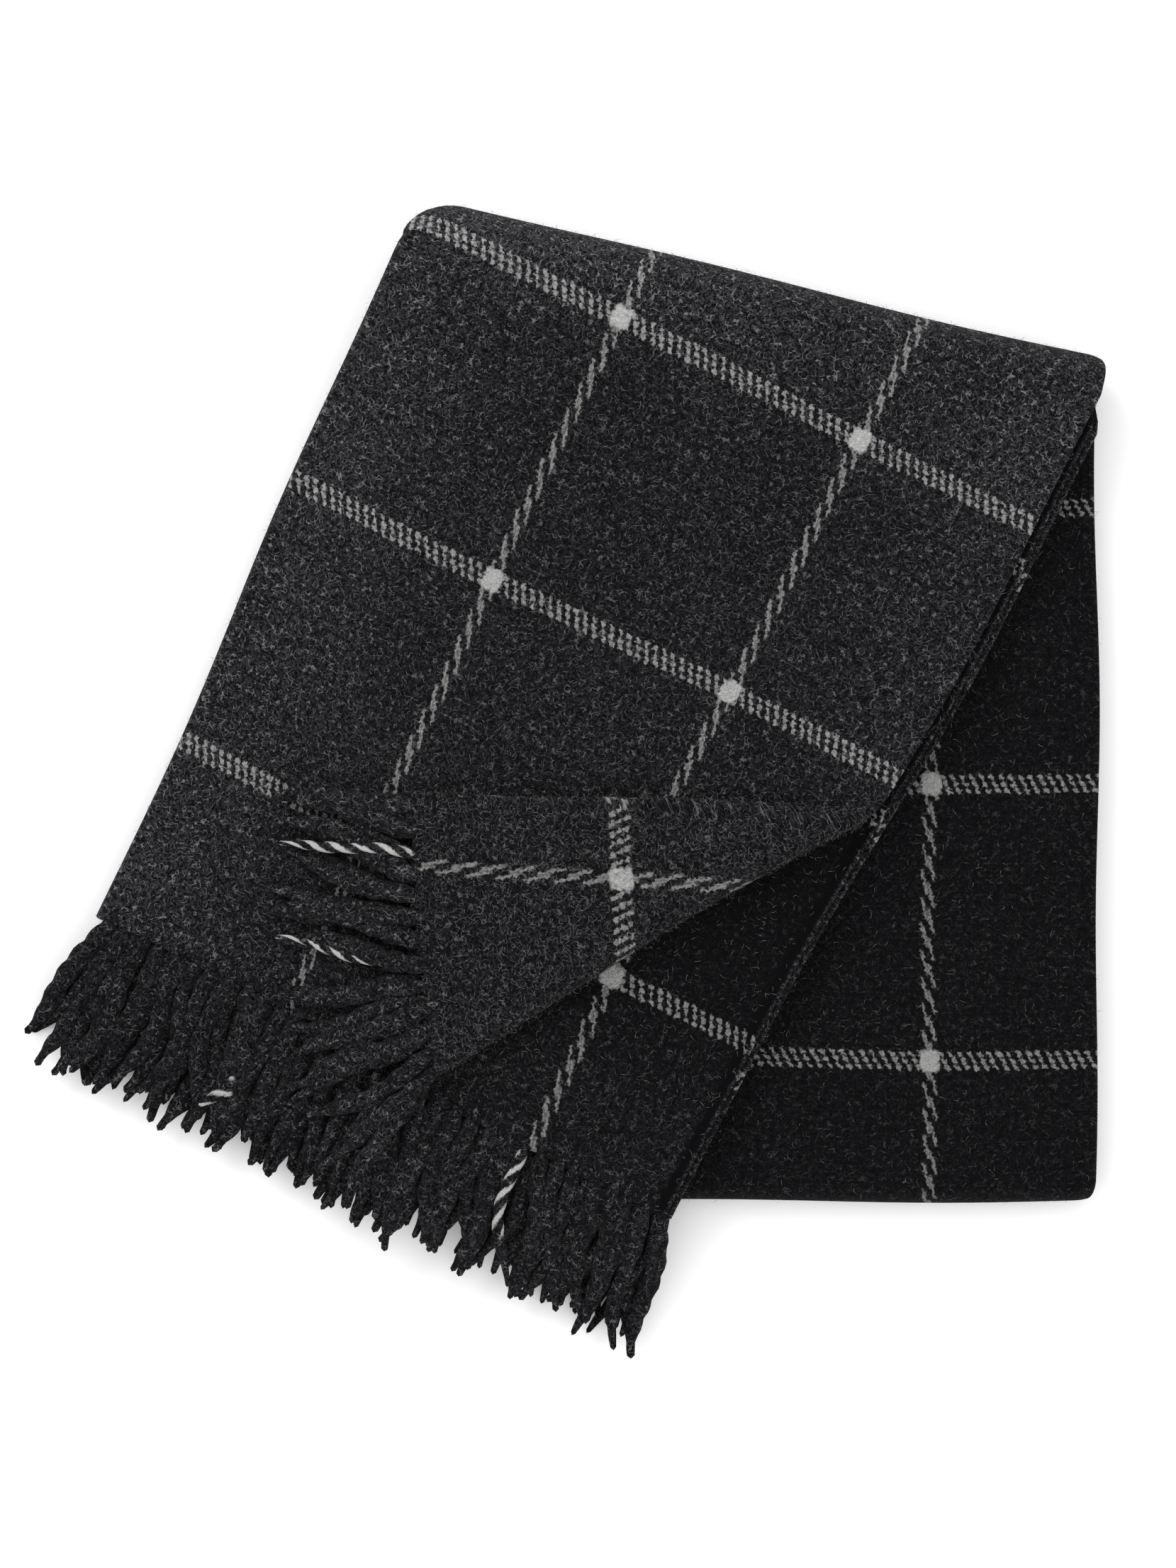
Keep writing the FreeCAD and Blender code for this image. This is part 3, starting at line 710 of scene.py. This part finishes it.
def tassel_row(name, roots, ways, pale, layer, body, node, steps, sides, girth, fuzz):
    """A row of twisted cords. Round each centre line runs a section of two lobes that turns with the
    twist; it swells from its root and falls to a point at the tip. Cords with off-white yarn are
    thinner and lie on top."""
    count = len(roots)
    shown, starts, stops = pale.T[:, :, None]
    on_top = shown > 0.8
    line, length = cord_lines(roots, ways, layer + 3.2 * on_top, steps)
    tangent = np.gradient(line, axis=1)
    tangent /= np.linalg.norm(tangent, axis=-1, keepdims=True)
    side = np.stack([-tangent[..., 1], tangent[..., 0], 0 * tangent[..., 0]], -1)
    side /= np.linalg.norm(side, axis=-1, keepdims=True)
    up = np.cross(tangent, side)
    t = np.linspace(0.0, 1.0, steps)
    gone = t * (TASSEL_LENGTH + TUCKED)
    theta = np.linspace(0.0, 2 * np.pi, sides, endpoint=False)
    size = girth * chance.uniform(0.88, 1.12, count)[:, None] * (1.0 - 0.42 * on_top)
    taper = 1.0 - 0.62 * ease((t - 0.72) / 0.28) ** 1.2
    body_radius = size * taper * (0.36 + 0.64 * ease((gone - 2.0) / 13.0))
    turned = 2 * np.pi * t * length[:, None] / TWIST_LENGTH + chance.uniform(0, 6, count)[:, None]
    lobe = abs(np.cos(theta - turned[..., None]))
    radius = body_radius[..., None] * (0.74 + 0.26 * lobe)
    sideways, upward = np.cos(theta)[:, None], 0.86 * np.sin(theta)[:, None]
    ring = side[:, :, None] * sideways + up[:, :, None] * upward
    skin = line[:, :, None] + radius[..., None] * ring
    skin[..., 2] = np.maximum(skin[..., 2], 0.2)
    poles = np.stack([line[:, 0] - tangent[:, 0], line[:, -1] + tangent[:, -1] * 1.5], 1)
    points = np.concatenate([skin.reshape(count, -1, 3), poles], 1).reshape(-1, 3)
    piece = make_mesh(name, points, cord_faces(count, steps, sides), twisted_fringe)
    strength = shown * ease((t - starts) / 0.1 + 1.0) * (1.0 - ease((t - stops) / 0.15))
    ply = lobe**3.2 * (strength * ease((gone - TUCKED) / 3.0))[..., None]
    # painted shade: each cord darker at its sides and underside than on its top
    lit = fuzz * (0.42 + 0.78 * ease(0.5 + 0.5 * np.sin(theta)))
    for key, values, at_poles in (
        ("pale_ply", ply.reshape(count, -1), 0.0),
        ("nap_and_painted_light", np.tile(lit, (count, steps)), 0.5 * fuzz),
    ):
        store(piece.data, key, np.concatenate([values, np.full((count, 2), at_poles)], 1))
    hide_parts(node)
    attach(piece, body)


def ground(x, y):
    """Height that the lower half holds a tassel up to, ramped down beyond its left and bottom."""
    left, bottom, run = -169.0, -218.0, 45.0
    beyond = np.maximum(np.maximum(left - x, bottom - y), 0.0)
    return SUPPORT * np.clip(1.0 - beyond / run, 0.0, 1.0)


# Which tassels have an off-white ply: place across the leaf, how clearly, and from where to where.
PALE_TASSELS = {
    ("A", "outer"): [(-57.0, 0.8, 0.75, 1.0), (83.0, 1.0, 0.0, 1.0)],
    ("A'", "outer"): [(130.0, 1.0, 0.0, 1.0)],
    ("B", "outer"): [(85.0, 0.9, 0.0, 0.62)],
    ("B'", "outer"): [(-20.0, 0.5, 0.3, 0.8)],
    ("A", "inner"): [(-57.0, 0.5, 0.4, 1.0), (70.0, 0.5, 0.4, 1.0)],
}


ROW_SIDES = {"A": (-162.0, 159.5), "A'": (-159.5, 159.5)}
ROW_SIDES.update({"B": (-159.5, 163.0), "B'": (-162.0, 165.5)})


def row_of(quarter, group):
    """Places across the strip of one leaf's tassels, and what shows of their off-white yarn."""
    low, high = ROW_SIDES[quarter]
    across = np.arange(low + 2.0 + chance.uniform(0, 3), high - 1.0, TASSEL_STEP)
    across = across + chance.normal(0.0, 0.9, len(across))
    pale = np.tile([0.0, 0.0, 1.0], (len(across), 1))
    for place, *shows in PALE_TASSELS.get((quarter, group), []):
        pale[np.argmin(abs(across - place))] = shows
    return across, pale


# How steeply the turned corner's tassels point down, in radians, from its lower end to its upper.
CORNER_ENDS = [-152.0, -125.0, -98.0, -60.0, -5.0]
CORNER_LIES = [0.85, 0.42, -0.17, -0.40, -0.30]
LEAVES = [("A", "inner"), ("A'", "inner"), ("B", "inner"), ("B'", "inner")]
LEAVES += [("B'", "outer"), ("B", "outer"), ("A'", "outer"), ("A", "outer")]
for number, (quarter, group) in enumerate(LEAVES, start=1):
    across, pale = row_of(quarter, group)
    outer = group == "outer"
    turns = np.full(len(across), outer and quarter in ("A", "A'"))
    ends_later = LATE_END if outer and quarter in ("B", "B'") else 0.0
    along = np.full(len(across), UPPER_END + ends_later)
    if outer:
        depth = np.full(len(across), DEPTHS[quarter])
        roots = upper_place(across, along, depth, OUTER_TOP, turns)
    else:
        depth = np.full(len(across), -DEPTHS[quarter])
        roots = upper_place(across + SLID_OUT, along, depth, SUPPORT, turns)
    roots = settle(roots)
    over = turns & (roots[:, 2] > 40.0) & (roots[:, 0] > -190.0)
    fan = np.interp(roots[:, 0], [-320.0, -45.0], [-0.05, 0.20])[:, None]
    ways = np.cos(fan) * RUN + np.sin(fan) * np.array([-RUN[1], RUN[0]])
    steps, sides, girth = (26, 10, 4.6) if outer else (14, 6, 3.8)
    tassel_row(
        f"fringe_row_{number}",
        roots[~over],
        ways[~over],
        pale[~over],
        layer=LEAF_PITCH * (number - 1) + 1.6,
        body="throw",
        node=f"fringe_{number}",
        steps=steps,
        sides=sides,
        girth=girth,
        fuzz=0.76,
    )
    if over.any():
        which = 9 - number
        lies = np.interp(roots[over][:, 1], CORNER_ENDS, CORNER_LIES)
        tassel_row(
            f"corner_fringe_row_{which}",
            roots[over],
            np.stack([-np.cos(lies), -np.sin(lies)], -1),
            pale[over],
            layer=22.6 + LEAF_PITCH * (which - 1),
            body="turned_corner",
            node=f"corner_fringe_{which}",
            steps=30,
            sides=10,
            girth=4.8,
            fuzz=0.86,
        )

# ---- stray hairs ----
# Raising leaves single hairs standing off the cloth and the cords. They are fine curled ribbons, set
# thickest along the folds and edges, where they show against what is behind.

hair_graph = Graph("stray_hair")
hair_place = hair_graph.add("ShaderNodeTexCoord", out=3)
hair_tone = hair_graph.noise(hair_place, 900.0).rise(0.3, 0.7)
hair_colour = hair_graph.mix(hair_tone, (0.025, 0.025, 0.027, 1.0), (0.15, 0.15, 0.155, 1.0))
hair_bump = hair_graph.bump(0.1, hair_tone)
stray_hair = hair_graph.finish(hair_colour, 0.7, hair_bump, **{"Specular IOR Level": 0.1})


def hair_piece(name, source, count, keep, body):
    """Curled ribbons rooted on a piece's outer skin, three times as thick where it is upright: each
    walks along the skin in a turning direction while it lifts off it, and narrows to its tip."""
    shape = source.evaluated_get(bpy.context.evaluated_depsgraph_get()).to_mesh()
    cells = len(shape.polygons)
    places, outward = np.empty(cells * 3, np.float32), np.empty(cells * 3, np.float32)
    areas = np.empty(cells, np.float32)
    shape.polygons.foreach_get("center", places)
    shape.polygons.foreach_get("normal", outward)
    shape.polygons.foreach_get("area", areas)
    places, outward = places.reshape(-1, 3) * 1000.0, outward.reshape(-1, 3)
    share = areas * keep(places, outward) * (1.0 + 2.0 * (1.0 - np.clip(outward[:, 2], 0, 1)))
    picked = chance.choice(cells, count, p=share / share.sum())
    normal = outward[picked]
    jump = chance.normal(0.0, 1.2, (count, 3))
    root = places[picked] + jump - (jump * normal).sum(-1, keepdims=True) * normal
    side = np.cross(normal, chance.normal(0.0, 1.0, (count, 3)))
    side /= np.linalg.norm(side, axis=-1, keepdims=True) + 1e-9
    other = np.cross(normal, side)
    t = np.linspace(0.0, 1.0, 5)
    turning = chance.normal(0.0, 1.6, count)[:, None] * t + chance.uniform(0, 6.3, count)[:, None]
    step = (chance.uniform(1.6, 3.8, count) / 4.0)[:, None, None]
    walk = np.cos(turning)[..., None] * side[:, None] + np.sin(turning)[..., None] * other[:, None]
    rise = chance.uniform(0.1, 0.75, count)[:, None, None] * (1.0 - 0.9 * t[:, None])
    line = root[:, None] + np.cumsum((walk + rise * normal[:, None]) * step, 1)
    across_hair = np.cross(walk, normal[:, None] + 0.3 * side[:, None])
    across_hair /= np.linalg.norm(across_hair, axis=-1, keepdims=True) + 1e-9
    half = (0.085 * (1.0 - 0.8 * t**2))[:, None] * across_hair
    points = np.stack([line - half, line + half], 2).reshape(-1, 3)
    points[:, 2] = np.maximum(points[:, 2], 0.1)
    base = (np.arange(count) * 10)[:, None, None] + (np.arange(4) * 2)[None, :, None]
    quads = (base + np.array([0, 1, 3, 2])).reshape(-1, 4)
    hair = make_mesh(name, points, quads.tolist(), stray_hair)
    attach(hair, body)


FACES_OUT = -0.2  # hairs grow on skin that faces up, or out of a fold, not on undersides


def shows_flat(places, outward):
    """Skin of the fixed cloth, above its underside and below the turned corner."""
    return (outward[:, 2] > FACES_OUT) & (places[:, 2] < 40.05) & (places[:, 2] > 12.0)


def shows_turned(places, outward):
    """Skin of the turned corner."""
    return (outward[:, 2] > FACES_OUT) & (places[:, 2] > 43.4)


hair_piece("hairs_upper", outer_upper, 17000, shows_flat, "throw")
hair_piece("hairs_lower", inner_lower, 7000, shows_flat, "throw")
hair_piece("hairs_corner", outer_upper, 5000, shows_turned, "turned_corner")
